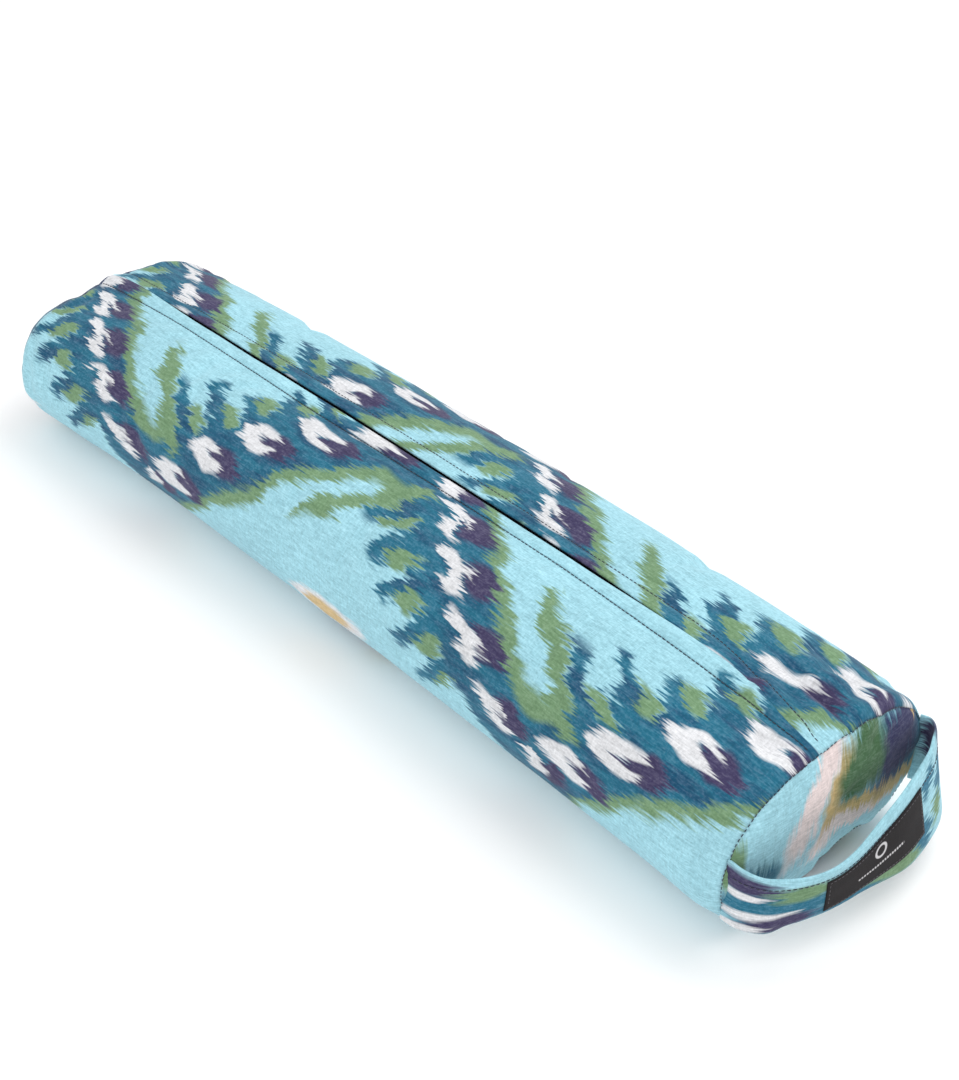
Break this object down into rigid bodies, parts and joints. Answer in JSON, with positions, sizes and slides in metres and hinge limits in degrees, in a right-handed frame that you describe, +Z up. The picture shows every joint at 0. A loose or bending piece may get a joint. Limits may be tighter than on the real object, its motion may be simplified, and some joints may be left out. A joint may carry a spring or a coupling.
{
  "type": "bolster pillow",
  "caption": "Long oval-section yoga bolster in a zipped printed-cotton cover, with a fabric carrying strap sewn across one end.",
  "frame": {"origin": "centre of the whole part's footprint, strap included, on the surface that it rests on", "axes": "+X along the body towards the strap end, +Z up"},
  "size_m": [0.7534, 0.178, 0.1081],
  "materials": {
    "printed_cotton": "matte woven cotton with an ikat print in aqua, teal, olive, off-white and purple-navy",
    "end_panel_cotton": "matte woven cotton, a large soft part of the same print",
    "strap_cotton": "folded and topstitched print cotton",
    "black_label": "plain black woven ribbon with no lettering",
    "dark_thread": "dark navy sewing thread",
    "label_thread": "charcoal sewing thread",
    "zip_tape": "dark navy woven polyester tape",
    "zip_coil": "dark nylon coil",
    "zip_metal": "dark plated zinc, lightly worn",
    "casing_cotton": "unbleached plain cotton",
    "batting": "packed raw cotton batting"
  },
  "bodies": {
    "bolster": {"cover_wrap": "printed_cotton", "end_panel_near": "end_panel_cotton", "end_panel_far": "end_panel_cotton", "end_seam_near": "dark_thread", "end_seam_far": "dark_thread", "placket_stitching_left": "dark_thread", "placket_stitching_right": "dark_thread", "zipper_tape_left": "zip_tape", "zipper_tape_right": "zip_tape", "zipper_coil_left": "zip_coil", "zipper_coil_right": "zip_coil", "zipper_top_stops": "zip_metal", "zipper_bottom_stop": "zip_metal", "casing_wrap": "casing_cotton", "casing_end_near": "casing_cotton", "casing_end_far": "casing_cotton", "batting_core": "batting", "strap_end_left": "strap_cotton", "strap_end_right": "strap_cotton"},
    "slider": {"zipper_slider": "zip_metal"},
    "pull_tab": {"zipper_pull_tab": "zip_metal"},
    "strap": {"strap_loop": "strap_cotton", "strap_stitching": "dark_thread", "strap_label": "black_label", "label_stitching": "label_thread"}
  },
  "joints": [
    {"name": "slider_travel", "type": "slide", "parent": "bolster", "child": "slider", "axis": [-1, 0, 0], "range_m": [0, 0.61]},
    {"name": "tab_flip", "type": "hinge", "parent": "slider", "child": "pull_tab", "pos_m": [0.28765, 0, 0.1027], "axis": [0, 1, 0], "range_deg": [0, 175]},
    {"name": "strap_swing", "type": "hinge", "parent": "bolster", "child": "strap", "pos_m": [0.35065, 0, 0.046], "axis": [0, -1, 0], "range_deg": [-35, 35]}
  ]
}
